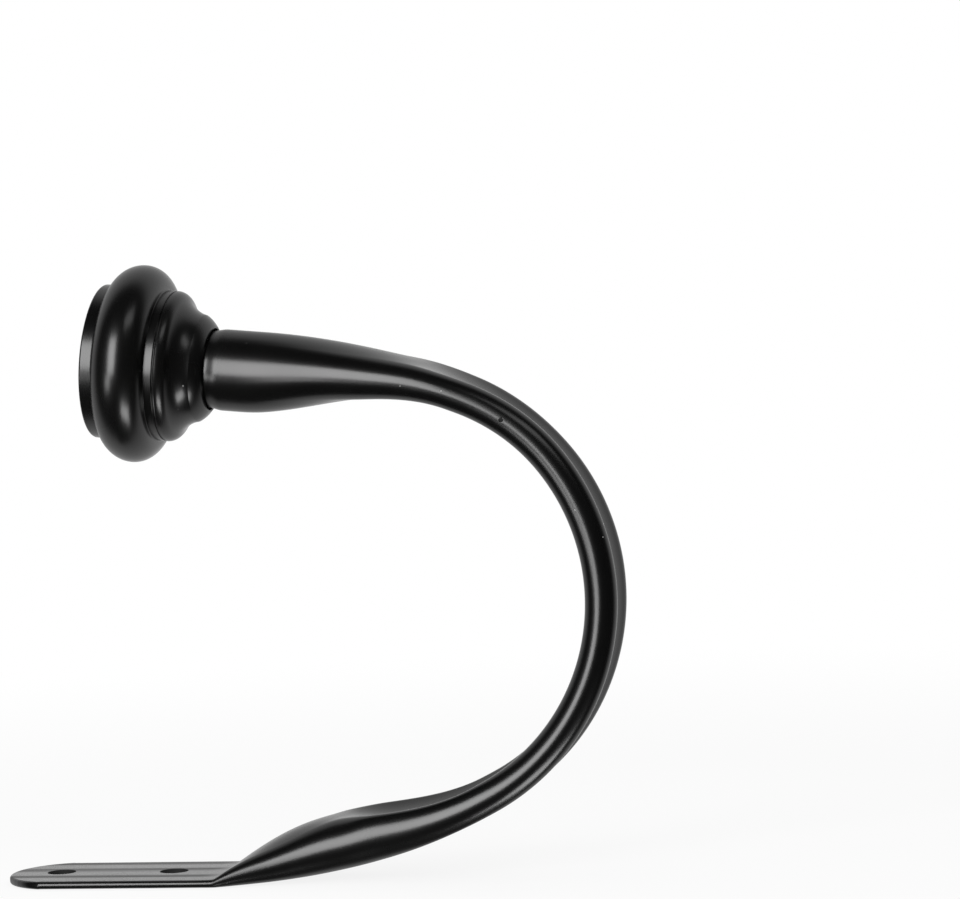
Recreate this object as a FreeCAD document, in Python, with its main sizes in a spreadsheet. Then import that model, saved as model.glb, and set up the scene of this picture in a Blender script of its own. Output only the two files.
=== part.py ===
import FreeCAD, Part
import math
import os
import Sketcher

# Curtain holdback: a steel tube bent to a U, flattened at one end to a screw tab,
# with a turned finial pushed over the round end.
# Origin: on the wall face of the tab, midway between the screw holes.
# X runs along the tab towards the bend, Z away from the wall; the U lies in the XZ plane.

doc = FreeCAD.newDocument("holdback")
sheet = doc.addObject("Spreadsheet::Sheet", "sizes")

# Driving dimensions, millimetres and degrees
sizes = {
    "tube_diameter": 19.0,
    "wall_thickness": 0.9,
    "tab_tip": 25.8,            # holes' midpoint to the tip
    "tab_crease": 27.0,         # holes' midpoint to the crease
    "tip_radius": 15.0,
    "tip_waste": 2.0,           # flat tube cut away beyond the tip
    "hole_spacing": 27.5,
    "hole_diameter": 6.6,
    "lead_radius": 142.5,       # outer line of the U: three tangent arcs and a straight neck
    "lead_angle": 27.7,
    "bend_radius": 54.4,
    "bend_angle": 128.7,
    "tail_radius": 167.0,
    "tail_angle": 17.3,
    "neck_length": 12.0,        # straight tube left showing before the finial
    "flank_end": 32.0,          # distances along the outer line, from the crease
    "press_start": 61.5,
    "press_end": 193.5,
    "round_start": 246.0,
    "flank_height": 11.1,       # height of the tube where the flank is fullest
    "press_height": 7.5,        # height of the tube where it is pressed for the bend
    "flank_bulge": 8.0,         # how far the broad sides swell out of flat, or sink into it
    "groove_sink": 12.6,
    "flank_twist": 8.8,
    "twist_end": 71.5,          # distance along the outer line where the twist has died out
    "tip_edge_round": 0.6,
    "disc_radius": 18.0,
    "bead_position": 9.4,       # positions on the finial are measured from its front face
    "bead_radius": 23.1,
    "bead_front_round": 6.8,
    "bead_back_round": 5.9,
    "band_radius": 17.6,
    "band_end": 17.2,
    "groove_width": 0.3,
    "groove_depth": 0.35,
    "ogee_round": 2.8,
    "ogee_slope": 65.0,
    "cove_round": 6.2,
    "lip_slope": 18.0,
    "lip_round": 5.5,
    "socket_depth": 14.0,
    "socket_clearance": 0.1,
}
for row, (alias, value) in enumerate(sizes.items(), start=1):
    sheet.set(f"A{row}", alias)
    sheet.set(f"B{row}", str(value))
    sheet.setAlias(f"B{row}", alias)
doc.recompute()


def size(alias):
    return float(sheet.get(alias))


# Outer line of the U

diameter = size("tube_diameter")
wall = size("wall_thickness")
crease = size("tab_crease")
flank_end = size("flank_end")
press_start = size("press_start")
press_end = size("press_end")
round_start = size("round_start")
arcs = [
    (size("lead_radius"), math.radians(size("lead_angle"))),
    (size("bend_radius"), math.radians(size("bend_angle"))),
    (size("tail_radius"), math.radians(size("tail_angle"))),
]
arcs_length = sum(radius * angle for radius, angle in arcs)
tube_end = arcs_length + size("neck_length") + size("socket_depth")


def outer_line(along):
    """Point and heading of the outer line at a distance from the crease."""
    x, z, heading = crease, 0.0, 0.0
    for radius, angle in arcs:
        turn = min(angle, along / radius)
        x += radius * (math.sin(heading + turn) - math.sin(heading))
        z += radius * (math.cos(heading) - math.cos(heading + turn))
        heading += turn
        along -= radius * turn
        if along <= 0:
            return x, z, heading
    return x + along * math.cos(heading), z + along * math.sin(heading), heading


# Section of the formed tube: two round lobes joined by two shallow arcs, flat, swollen or sunk.
# The wall keeps its length round the section, so flattening makes the tube wider.

def ease(along, start, end):
    part = min(1.0, max(0.0, (along - start) / (end - start)))
    return part * part * (3 - 2 * part)


def blend(first, last, part):
    return first + (last - first) * part


def half_height(along):
    flank = size("flank_height") / 2
    pressed = size("press_height") / 2
    if along < flank_end:
        return flank - (flank - wall) * (1 - along / flank_end) ** 2
    if along < press_end:
        return blend(flank, pressed, ease(along, flank_end, press_start))
    return blend(pressed, diameter / 2, ease(along, press_end, round_start))


def sink_angle(along):
    swollen = -math.radians(size("flank_bulge"))
    sunk = math.radians(size("groove_sink"))
    quarter_turn = -math.pi / 4
    if along < flank_end:
        return swollen * ease(along, 0, flank_end / 2)
    if along < press_end:
        return blend(swollen, sunk, ease(along, flank_end, press_start))
    return blend(sunk, quarter_turn, ease(along, press_end, round_start))


def twist_angle(along):
    part = min(1.0, along / size("twist_end"))
    return math.radians(size("flank_twist")) * math.sin(math.pi * part) ** 2


def section(along, inset):
    """Control points round the tube at a distance from the crease, drawn in from its outside."""
    height = half_height(along)
    sink = sink_angle(along)
    twist = twist_angle(along)
    bow = math.tan(sink / 2)
    stretch = sink / math.sin(sink) if sink else 1.0
    swell = max(0.0, -bow)
    spread = math.pi * (diameter - 2 * height) / (4 * stretch - 2 * math.pi * swell)
    lobe = height - spread * swell - inset
    x, z, heading = outer_line(along)
    outward = FreeCAD.Vector(math.sin(heading), 0, -math.cos(heading))
    sideways = FreeCAD.Vector(0, 1, 0)
    centre = FreeCAD.Vector(x, 0, z) - outward * height

    def place(across, up):
        turned_up = up * math.cos(twist) - across * math.sin(twist)
        turned_across = up * math.sin(twist) + across * math.cos(twist)
        return centre + outward * turned_up + sideways * turned_across

    # Each arc is a cubic curve; its handles have the length that follows a circle best
    lobe_handle = 4 / 3 * lobe * math.tan((math.pi / 2 + sink) / 4)
    web_handle = 4 / 3 * (spread * (1 + bow * bow) / 2 - lobe * bow)
    lobe_tip = spread + lobe
    joint = (spread - lobe * math.sin(sink), lobe * math.cos(sink))
    lean = (math.cos(sink), math.sin(sink))
    before_joint = (joint[0] + lobe_handle * lean[0], joint[1] + lobe_handle * lean[1])
    after_joint = (joint[0] - web_handle * lean[0], joint[1] - web_handle * lean[1])
    quarter = [(lobe_tip, lobe_handle), before_joint, joint, after_joint]
    outer_half = [(lobe_tip, 0)] + quarter + [(-across, up) for across, up in quarter[::-1]]
    inner_half = [(-across, -up) for across, up in outer_half]
    return [place(across, up) for across, up in outer_half + inner_half]


def edge_on(poles):
    """Edge on four control points: a straight line where they lie on one."""
    chord = poles[-1] - poles[0]
    if all(pole.distanceToLine(poles[0], chord) < 1e-9 for pole in poles):
        return Part.makeLine(poles[0], poles[-1])
    curve = Part.BezierCurve()
    curve.setPoles(poles)
    return curve.toShape()


def face_across(along, inset):
    """Flat face filling the outline of the tube at a station."""
    points = section(along, inset)
    points.append(points[0])
    edges = [edge_on(points[first:first + 4]) for first in range(0, len(points) - 1, 3)]
    return Part.Face(Part.Wire(edges))


def formed_length(distances, inset):
    """Solid skinned over the sections: every control point runs along a smooth curve."""
    rows = [section(along, inset) for along in distances]
    runs = []
    for points in zip(*rows):
        run = Part.BSplineCurve()
        run.interpolate(Points=list(points), Parameters=distances)
        runs.append(run)
    runs.append(runs[0])
    faces = [face_across(distances[0], inset), face_across(distances[-1], inset)]
    for first in range(0, len(runs) - 1, 3):
        poles = [run.getPoles() for run in runs[first:first + 4]]
        knots = runs[first].getKnots()
        multiplicities = runs[first].getMultiplicities()
        strip = Part.BSplineSurface()
        strip.buildFromPolesMultsKnots(poles, [4, 4], multiplicities, [0, 1], knots, False, False, 3, 3)
        faces.append(strip.toShape())
    shell = Part.Shell(faces)
    shell.sewShape()
    return Part.Solid(shell)


def stations(first):
    """Distances of the sections: close together where the shape changes fast."""
    stretches = [
        (first, flank_end, 8),
        (flank_end, press_start, 6),
        (press_start, press_end, 14),
        (press_end, round_start, 10),
    ]
    found = [first]
    for start, end, steps in stretches:
        found += [blend(start, end, step / steps) for step in range(1, steps + 1)]
    return found


def straight_from(along, length, inset):
    """Straight length of tube, on from or back from the section at a station."""
    heading = outer_line(along)[2]
    direction = FreeCAD.Vector(math.cos(heading), 0, math.sin(heading))
    return face_across(along, inset).extrude(direction * length)


# Arm: the formed tube, then the rounded tip and the screw holes cut in its tab

bore_start = flank_end / 20
bore_overrun = 1.0
tab_length = crease + size("tab_tip") + size("tip_waste")
end_length = tube_end - round_start
formed = formed_length(stations(0.0), 0)
formed = formed.fuse([straight_from(0.0, -tab_length, 0), straight_from(round_start, end_length, 0)])
bore = formed_length(stations(bore_start), wall)
bore = bore.fuse(straight_from(round_start, end_length + bore_overrun, wall))

formed_tube = doc.addObject("Part::Feature", "formed_tube")
formed_tube.Shape = formed.removeSplitter().cut(bore)
arm = doc.addObject("PartDesign::Body", "arm")
arm.Label = "arm"
arm.BaseFeature = formed_tube
doc.recompute()


def origin_plane(body, role):
    return next(item for item in body.Origin.OriginFeatures if item.Role == role)


def new_sketch(body, name, role):
    sketch = body.newObject("Sketcher::SketchObject", name)
    sketch.AttachmentSupport = (origin_plane(body, role), [""])
    sketch.MapMode = "FlatFace"
    return sketch


def drive(sketch, constraint, name, expression):
    """Add a dimension, name it and tie it to the sheet."""
    index = sketch.addConstraint(constraint)
    sketch.renameConstraint(index, name)
    sketch.setExpression("Constraints." + name, expression)


flat = FreeCAD.Vector(0, 0, 1)
hole_sketch = new_sketch(arm, "hole_sketch", "XY_Plane")
for side, hole in ((-1, "tip_hole"), (1, "bend_hole")):
    centre = FreeCAD.Vector(side * size("hole_spacing") / 2, 0, 0)
    index = hole_sketch.addGeometry(Part.Circle(centre, flat, size("hole_diameter") / 2))
    hole_sketch.addConstraint(Sketcher.Constraint("PointOnObject", index, 3, -1))
    ends = (index, 3, -1, 1) if side < 0 else (-1, 1, index, 3)
    drive(hole_sketch, Sketcher.Constraint("DistanceX", *ends, size("hole_spacing") / 2),
          hole + "_position", "sizes.hole_spacing / 2")
    drive(hole_sketch, Sketcher.Constraint("Diameter", index, size("hole_diameter")),
          hole + "_diameter", "sizes.hole_diameter")
holes = arm.newObject("PartDesign::Pocket", "screw_holes")
holes.Profile = hole_sketch
holes.Midplane = True
holes.setExpression("Length", "6 * sizes.wall_thickness")

# The tip is cut off round; the waste is the strip left of the arc, as wide as the tube can become
tip_sketch = new_sketch(arm, "tip_sketch", "XY_Plane")
tip_centre = size("tip_radius") - size("tab_tip")
tip_radius = size("tip_radius")
waste_end = -size("tab_tip") - 2 * size("tip_waste")
corners = [
    FreeCAD.Vector(tip_centre, -tip_radius, 0),
    FreeCAD.Vector(tip_centre, -diameter, 0),
    FreeCAD.Vector(waste_end, -diameter, 0),
    FreeCAD.Vector(waste_end, diameter, 0),
    FreeCAD.Vector(tip_centre, diameter, 0),
    FreeCAD.Vector(tip_centre, tip_radius, 0),
]
tip_circle = Part.Circle(FreeCAD.Vector(tip_centre, 0, 0), flat, tip_radius)
tip_arc = tip_sketch.addGeometry(Part.ArcOfCircle(tip_circle, math.pi / 2, 3 * math.pi / 2))
sides = [tip_sketch.addGeometry(Part.LineSegment(*ends)) for ends in zip(corners, corners[1:])]
tip_sketch.addConstraint(Sketcher.Constraint("Coincident", tip_arc, 2, sides[0], 1))
for side, next_side in zip(sides, sides[1:]):
    tip_sketch.addConstraint(Sketcher.Constraint("Coincident", side, 2, next_side, 1))
tip_sketch.addConstraint(Sketcher.Constraint("Coincident", sides[-1], 2, tip_arc, 1))
for upright in (sides[0], sides[4]):
    tip_sketch.addConstraint(Sketcher.Constraint("Vertical", upright))
for level in (sides[1], sides[3]):
    tip_sketch.addConstraint(Sketcher.Constraint("Horizontal", level))
tip_sketch.addConstraint(Sketcher.Constraint("PointOnObject", tip_arc, 3, -1))
for end in (1, 2):
    tip_sketch.addConstraint(Sketcher.Constraint("Vertical", tip_arc, end, tip_arc, 3))
tip_sketch.addConstraint(Sketcher.Constraint("Symmetric", sides[2], 1, sides[2], 2, -1))
drive(tip_sketch, Sketcher.Constraint("Radius", tip_arc, tip_radius), "tip_round", "sizes.tip_radius")
drive(tip_sketch, Sketcher.Constraint("DistanceX", tip_arc, 3, -1, 1, -tip_centre),
      "tip_centre", "sizes.tab_tip - sizes.tip_radius")
drive(tip_sketch, Sketcher.Constraint("DistanceX", sides[2], 1, -1, 1, -waste_end),
      "waste_end", "sizes.tab_tip + 2 * sizes.tip_waste")
drive(tip_sketch, Sketcher.Constraint("DistanceY", -1, 1, sides[2], 2, diameter),
      "waste_side", "sizes.tube_diameter")
tip = arm.newObject("PartDesign::Pocket", "rounded_tip")
tip.Profile = tip_sketch
tip.Midplane = True
tip.setExpression("Length", "6 * sizes.wall_thickness")
doc.recompute()

# The cut edges of the tip are rounded off, above and below
tip_edges = []
for number, edge in enumerate(tip.Shape.Edges, start=1):
    cut_round = isinstance(edge.Curve, Part.Circle) and abs(edge.Curve.Radius - tip_radius) < 1e-6
    if cut_round:
        tip_edges.append(f"Edge{number}")
softened = arm.newObject("PartDesign::Fillet", "softened_tip")
softened.Base = (tip, tip_edges)
softened.setExpression("Radius", "sizes.tip_edge_round")
arm.Tip = softened
doc.recompute()

# Finial: one turned piece, its outline drawn from the front face (left) to the socket (right)

finial = doc.addObject("PartDesign::Body", "finial")
finial.Label = "finial"
outline = new_sketch(finial, "finial_outline", "XZ_Plane")
slope = math.radians(size("ogee_slope"))
lip_slope = math.radians(size("lip_slope"))
socket_radius = diameter / 2 + size("socket_clearance")
bead_top = FreeCAD.Vector(size("bead_position"), size("bead_radius"), 0)
bead_front_centre = bead_top - FreeCAD.Vector(0, size("bead_front_round"), 0)
bead_back_centre = bead_top - FreeCAD.Vector(0, size("bead_back_round"), 0)
ogee_start = size("band_end") + size("groove_width")
ogee_centre = FreeCAD.Vector(ogee_start, size("band_radius") - size("ogee_round"), 0)
down_slope = FreeCAD.Vector(math.sin(slope), math.cos(slope), 0)
down_lip = FreeCAD.Vector(math.sin(lip_slope), math.cos(lip_slope), 0)
cove_centre = ogee_centre + down_slope * (size("ogee_round") + size("cove_round"))
lip_centre = cove_centre - down_lip * (size("cove_round") + size("lip_round"))
mouth_angle = math.asin((socket_radius - lip_centre.y) / size("lip_round"))
mouth = lip_centre.x + size("lip_round") * math.cos(mouth_angle)
floor = mouth - size("socket_depth")


def reach(centre, round_size, level):
    """Half the width of a round at a distance from the finial's axis."""
    return math.sqrt(round_size ** 2 - (level - centre.y) ** 2)


bead_left = bead_top.x - reach(bead_front_centre, size("bead_front_round"), size("disc_radius"))
bead_right = bead_top.x + reach(bead_back_centre, size("bead_back_round"), size("band_radius"))
groove_floor = size("band_radius") - size("groove_depth")


def line(x1, y1, x2, y2):
    start = FreeCAD.Vector(x1, y1, 0)
    return outline.addGeometry(Part.LineSegment(start, FreeCAD.Vector(x2, y2, 0)))


def arc(centre, radius, from_angle, to_angle):
    circle = Part.Circle(centre, flat, radius)
    return outline.addGeometry(Part.ArcOfCircle(circle, from_angle, to_angle))


def angle_to(centre, x, y):
    return math.atan2(y - centre.y, x - centre.x)


front = line(0, 0, 0, size("disc_radius"))
rim = line(0, size("disc_radius"), bead_left, size("disc_radius"))
bead_front = arc(bead_front_centre, size("bead_front_round"), math.pi / 2,
                 angle_to(bead_front_centre, bead_left, size("disc_radius")))
bead_back = arc(bead_back_centre, size("bead_back_round"),
                angle_to(bead_back_centre, bead_right, size("band_radius")), math.pi / 2)
band = line(bead_right, size("band_radius"), size("band_end"), size("band_radius"))
groove_down = line(size("band_end"), size("band_radius"), size("band_end"), groove_floor)
groove = line(size("band_end"), groove_floor, ogee_start, groove_floor)
groove_up = line(ogee_start, groove_floor, ogee_start, size("band_radius"))
ogee = arc(ogee_centre, size("ogee_round"), math.pi / 2 - slope, math.pi / 2)
cove = arc(cove_centre, size("cove_round"), 3 * math.pi / 2 - slope, 3 * math.pi / 2 - lip_slope)
lip = arc(lip_centre, size("lip_round"), mouth_angle, math.pi / 2 - lip_slope)
socket = line(mouth, socket_radius, floor, socket_radius)
socket_floor = line(floor, socket_radius, floor, 0)
axis = line(floor, 0, 0, 0)

meetings = [
    (front, 2, rim, 1),
    (rim, 2, bead_front, 2),
    (bead_front, 1, bead_back, 2),
    (bead_back, 1, band, 1),
    (band, 2, groove_down, 1),
    (groove_down, 2, groove, 1),
    (groove, 2, groove_up, 1),
    (groove_up, 2, ogee, 2),
    (lip, 1, socket, 1),
    (socket, 2, socket_floor, 1),
    (socket_floor, 2, axis, 1),
    (axis, 2, front, 1),
    (front, 1, -1, 1),
]
for meeting in meetings:
    outline.addConstraint(Sketcher.Constraint("Coincident", *meeting))
for level in (rim, band, groove, socket, axis):
    outline.addConstraint(Sketcher.Constraint("Horizontal", level))
for upright in (front, groove_down, groove_up, socket_floor):
    outline.addConstraint(Sketcher.Constraint("Vertical", upright))
for centre_below in (bead_back, ogee):
    outline.addConstraint(Sketcher.Constraint("Vertical", centre_below, 2, centre_below, 3))
outline.addConstraint(Sketcher.Constraint("Vertical", bead_front, 1, bead_front, 3))
outline.addConstraint(Sketcher.Constraint("Tangent", ogee, 1, cove, 1))
outline.addConstraint(Sketcher.Constraint("Tangent", cove, 2, lip, 2))
outline.addConstraint(Sketcher.Constraint("Horizontal", groove_up, 2, band, 2))

drives = [
    ("DistanceY", (front, 1, front, 2), "disc", "sizes.disc_radius"),
    ("DistanceX", (-1, 1, bead_front, 1), "bead_along", "sizes.bead_position"),
    ("DistanceY", (-1, 1, bead_front, 1), "bead_out", "sizes.bead_radius"),
    ("Radius", (bead_front,), "bead_front_size", "sizes.bead_front_round"),
    ("Radius", (bead_back,), "bead_back_size", "sizes.bead_back_round"),
    ("DistanceY", (-1, 1, band, 2), "band_out", "sizes.band_radius"),
    ("DistanceX", (-1, 1, band, 2), "band_along", "sizes.band_end"),
    ("DistanceY", (groove_down, 2, groove_down, 1), "groove_deep", "sizes.groove_depth"),
    ("DistanceX", (groove, 1, groove, 2), "groove_wide", "sizes.groove_width"),
    ("Radius", (ogee,), "ogee_size", "sizes.ogee_round"),
    ("DistanceX", (ogee, 3, ogee, 1), "ogee_turn", "sizes.ogee_round * sin(sizes.ogee_slope * 1 deg)"),
    ("Radius", (cove,), "cove_size", "sizes.cove_round"),
    ("DistanceX", (cove, 2, cove, 3), "cove_turn", "sizes.cove_round * sin(sizes.lip_slope * 1 deg)"),
    ("Radius", (lip,), "lip_size", "sizes.lip_round"),
    ("DistanceY", (-1, 1, socket, 1), "socket_out", "sizes.tube_diameter / 2 + sizes.socket_clearance"),
    ("DistanceX", (socket, 2, socket, 1), "socket_deep", "sizes.socket_depth"),
]
values = {
    "disc": size("disc_radius"),
    "bead_along": bead_top.x,
    "bead_out": bead_top.y,
    "bead_front_size": size("bead_front_round"),
    "bead_back_size": size("bead_back_round"),
    "band_out": size("band_radius"),
    "band_along": size("band_end"),
    "groove_deep": size("groove_depth"),
    "groove_wide": size("groove_width"),
    "ogee_size": size("ogee_round"),
    "ogee_turn": size("ogee_round") * math.sin(slope),
    "cove_size": size("cove_round"),
    "cove_turn": size("cove_round") * math.sin(lip_slope),
    "lip_size": size("lip_round"),
    "socket_out": socket_radius,
    "socket_deep": size("socket_depth"),
}
for kind, geometry, name, expression in drives:
    drive(outline, Sketcher.Constraint(kind, *geometry, values[name]), name, expression)

turned = finial.newObject("PartDesign::Revolution", "turned")
turned.Profile = outline
turned.ReferenceAxis = (outline, ["H_Axis"])
turned.Angle = 360
finial.Tip = turned
doc.recompute()

# The tube's end bears on the socket floor, and the finial's axis runs on from the tube's
end_x, end_z, end_heading = outer_line(tube_end)
end_outward = FreeCAD.Vector(math.sin(end_heading), 0, -math.cos(end_heading))
end_forward = FreeCAD.Vector(math.cos(end_heading), 0, math.sin(end_heading))
end_centre = FreeCAD.Vector(end_x, 0, end_z) - end_outward * (diameter / 2)
finial.Placement = FreeCAD.Placement(
    end_centre + end_forward * floor,
    FreeCAD.Rotation(FreeCAD.Vector(0, 1, 0), math.degrees(math.pi - end_heading)),
)
doc.recompute()

# Check and write the parts

for item in doc.Objects:
    if "Invalid" in item.State or "Error" in item.State:
        raise RuntimeError(item.Name + " did not compute")
os.makedirs("parts", exist_ok=True)
for piece in (arm, finial):
    if piece.Shape.isNull() or not piece.Shape.isValid():
        raise RuntimeError(piece.Label + " has no valid shape")
    piece.Shape.exportStep("parts/" + piece.Label + ".step")
    print(piece.Label, round(piece.Shape.Volume, 1), piece.Shape.BoundBox)
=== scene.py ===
import math
import bmesh
import bpy
import numpy as np
from mathutils import Matrix, Vector
from mathutils.bvhtree import BVHTree
from mathutils.geometry import delaunay_2d_cdt


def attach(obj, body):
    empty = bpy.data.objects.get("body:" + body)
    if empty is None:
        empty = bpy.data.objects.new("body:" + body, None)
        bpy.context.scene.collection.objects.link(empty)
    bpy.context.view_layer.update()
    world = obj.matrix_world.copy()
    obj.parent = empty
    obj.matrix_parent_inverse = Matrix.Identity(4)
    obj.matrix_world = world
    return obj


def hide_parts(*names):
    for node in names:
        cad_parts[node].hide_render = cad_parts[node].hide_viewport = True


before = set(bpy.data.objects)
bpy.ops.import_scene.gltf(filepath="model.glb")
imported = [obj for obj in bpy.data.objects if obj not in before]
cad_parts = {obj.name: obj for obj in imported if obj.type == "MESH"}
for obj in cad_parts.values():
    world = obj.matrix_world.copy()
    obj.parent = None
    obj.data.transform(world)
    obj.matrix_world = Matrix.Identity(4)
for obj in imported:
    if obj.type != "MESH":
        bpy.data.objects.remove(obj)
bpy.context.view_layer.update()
mm = 0.001
tiny = 1e-9                     # a length or slope below this is none
print("frame loaded:", ", ".join(sorted(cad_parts)))


# Node trees: sums on wires add Math nodes, everything else is added by node()
class Wire:
    def __init__(self, tree, socket=None):
        self.tree = tree
        self.socket = socket

    def node(self, kind, settings=None, inputs=None, output=0):
        made = self.tree.nodes.new(kind)
        for name, value in (settings or {}).items():
            setattr(made, name, value)
        for name, value in (inputs or {}).items():
            if isinstance(value, Wire):
                self.tree.links.new(value.socket, made.inputs[name])
            else:
                made.inputs[name].default_value = value
        return Wire(self.tree, made.outputs[output] if len(made.outputs) else None)

    def out(self, name):
        return Wire(self.tree, self.socket.node.outputs[name])

    def math(self, operation, first, second=0.0):
        return self.node("ShaderNodeMath", {"operation": operation}, {0: first, 1: second})

    def __add__(self, other):
        return self.math("ADD", self, other)

    def __radd__(self, other):
        return self.math("ADD", other, self)

    def __sub__(self, other):
        return self.math("SUBTRACT", self, other)

    def __rsub__(self, other):
        return self.math("SUBTRACT", other, self)

    def __mul__(self, other):
        return self.math("MULTIPLY", self, other)

    def __rmul__(self, other):
        return self.math("MULTIPLY", other, self)

    def __truediv__(self, other):
        return self.math("DIVIDE", self, other)

    def fade(self, start, end):                     # 1 at start, 0 at end, smooth between
        return self.node("ShaderNodeMapRange", {"interpolation_type": "SMOOTHSTEP"},
                         {"Value": self, "From Min": start, "From Max": end, "To Min": 1.0, "To Max": 0.0})


# Camera: the photograph's viewing angle
photoView = {
    "azimuth": 10.5,
    "elevation": 1.426,
    "roll": -2.239,
    "focalPixels": 3179.4,
    "distance": 0.7306,
    "target": (0.0907, 0.0, 0.0983),
    "width": 960,
    "height": 899,
    "sensorWidth": 36.0,
    "nearest": 0.01,
}


def towards(azimuth, elevation):        # from the part outwards; azimuth 0 is the front
    turn, rise = math.radians(azimuth), math.radians(elevation)
    return Vector((math.sin(turn) * math.cos(rise), -math.cos(turn) * math.cos(rise), math.sin(rise)))


def cameraAxes(view):
    turn, roll = math.radians(view["azimuth"]), math.radians(view["roll"])
    back = towards(view["azimuth"], view["elevation"])
    level = Vector((math.cos(turn), math.sin(turn), 0.0))
    upright = back.cross(level)
    right = math.cos(roll) * level + math.sin(roll) * upright
    up = math.cos(roll) * upright - math.sin(roll) * level
    return Vector(view["target"]) + back * view["distance"], right, up, back


def makeCamera(view):
    place, right, up, back = cameraAxes(view)
    data = bpy.data.cameras.new("photoCamera")
    data.sensor_width = view["sensorWidth"]
    data.lens = view["focalPixels"] * view["sensorWidth"] / view["width"]
    data.clip_start = view["nearest"]
    camera = bpy.data.objects.new("photoCamera", data)
    bpy.context.scene.collection.objects.link(camera)
    camera.matrix_world = Matrix((
        (right.x, up.x, back.x, place.x),
        (right.y, up.y, back.y, place.y),
        (right.z, up.z, back.z, place.z),
        (0, 0, 0, 1),
    ))
    bpy.context.scene.camera = camera


makeCamera(photoView)
print("camera placed")


# Arm: the formed tube with its screw tab, millimetres and degrees
armSizes = {
    "tubeDiameter": 19.0,
    "wall": 0.9,
    "tabTip": 25.8,
    "tabCrease": 27.0,
    "tipRadius": 15.0,
    "tipCorner": 2.0,           # round where the tip meets the straight sides
    "tipEdgeRound": 0.6,
    "edgeFlatTurn": 0.2,        # radians of the edge's round that its flat middle takes
    "holeSpacing": 27.5,
    "holeDiameter": 6.6,
    "holeEdgeRound": 0.2,
    "leadRadius": 142.5,
    "leadAngle": 27.7,
    "bendRadius": 54.4,
    "bendAngle": 128.7,
    "tailRadius": 167.0,
    "tailAngle": 17.3,
    "neckLength": 12.0,
    "neckIn": 0.45,             # the tube draws in where it enters the finial
    "neckRun": 3.0,
    "socketDepth": 14.0,
    "flankEnd": 27.1,
    "pressStart": 65.0,
    "pressEnd": 193.5,
    "roundStart": 246.0,
    "flankHeight": 11.85,
    "pressHeight": 7.5,
    "flankSink": 9.0,           # slope of the outer broad side on the flank
    "grooveSink": 25.0,         # slope of both broad sides into their grooves
    "roundSink": -45.0,         # slope at which broad sides and lobes make one round
    "grooveEnd": 175.0,         # the outer side's groove starts to run out here
    "domeBulge": 21.0,          # the flank's inner side is domed, then sinks into a groove
    "domeEnd": 17.3,
    "domeGone": 45.0,
    "domeSoftness": 0.06,
    "crestShare": 0.3,          # radius of a pressed crest as a share of its lobe's
    "crestTurn": 45.0,          # the crest starts this far round the lobe
    "crestEnd": 58.0,
    "crestGone": 85.0,
    "flankTwist": 2.4,
    "bendTwist": 1.2,
    "twistStart": 4.6,
    "twistEnd": 63.0,
    "tailTwist": -5.0,          # the press sat a little askew where the bend runs out
    "tailTwistStart": 165.0,
    "creaseSoftness": 0.5,
    "plateEnd": -4.0,           # the flat plate stops this far before the crease
    "rowSpacing": 0.6,
    "creaseRowSpacing": 0.2,
    "lobeSteps": 48,
    "webSteps": 24,
    "sideSteps": 24,
    "cornerSteps": 9,
    "tipSteps": 40,
    "holeSteps": 72,
    "holeEdgeSteps": 6,
}


def portion(value, start, end):     # 0 up to start, 1 from end on
    return min(1.0, max(0.0, (value - start) / (end - start)))


def ease(value, start, end):
    part = portion(value, start, end)
    return part * part * (3 - 2 * part)


def between(first, last, part):
    return first + (last - first) * part


def armArcs(s):
    return [(s[name + "Radius"], math.radians(s[name + "Angle"])) for name in ("lead", "bend", "tail")]


def tubeEnd(s):
    return sum(radius * angle for radius, angle in armArcs(s)) + s["neckLength"] + s["socketDepth"]


def outerLine(s, along):
    x, z, heading = s["tabCrease"], 0.0, 0.0
    if along <= 0:
        return x + along, z, heading
    for radius, angle in armArcs(s):
        turn = min(angle, along / radius)
        x += radius * (math.sin(heading + turn) - math.sin(heading))
        z += radius * (math.cos(heading) - math.cos(heading + turn))
        heading += turn
        along -= radius * turn
        if along <= tiny:
            return x, z, heading
    return x + along * math.cos(heading), z + along * math.sin(heading), heading


def softened(s, along):             # distance past the crease, with the kink rounded off
    def soften(value):
        return (value + math.hypot(value, s["creaseSoftness"])) / 2
    return soften(along) - soften(s["plateEnd"])


def halfHeight(s, along):
    flank, pressed = s["flankHeight"] / 2, s["pressHeight"] / 2
    if along < s["flankEnd"]:
        return flank - (flank - s["wall"]) * (1 - softened(s, along) / s["flankEnd"]) ** 2
    if along < s["pressEnd"]:
        return between(flank, pressed, ease(along, s["flankEnd"], s["pressStart"]))
    return between(pressed, s["tubeDiameter"] / 2, ease(along, s["pressEnd"], s["roundStart"]))


def outerSink(s, along):            # slope of the broad side where it leaves the lobe; domed is below 0
    flank, sunk, rounded = (math.radians(s[name + "Sink"]) for name in ("flank", "groove", "round"))
    if along < s["flankEnd"]:
        return flank * ease(along, 0, s["flankEnd"] / 2)
    if along < s["grooveEnd"]:
        return between(flank, sunk, ease(along, s["flankEnd"], s["pressStart"]))
    return between(sunk, rounded, ease(along, s["grooveEnd"], s["roundStart"]))


def innerSink(s, along):
    domed = -math.radians(s["domeBulge"])
    sunk, rounded = math.radians(s["grooveSink"]), math.radians(s["roundSink"])
    if along < s["domeEnd"]:
        return domed * ease(along, 0, s["domeEnd"])
    if along < s["pressEnd"]:
        return between(domed, sunk, ease(along, s["domeEnd"], s["domeGone"]))
    return between(sunk, rounded, ease(along, s["pressEnd"], s["roundStart"]))


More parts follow.
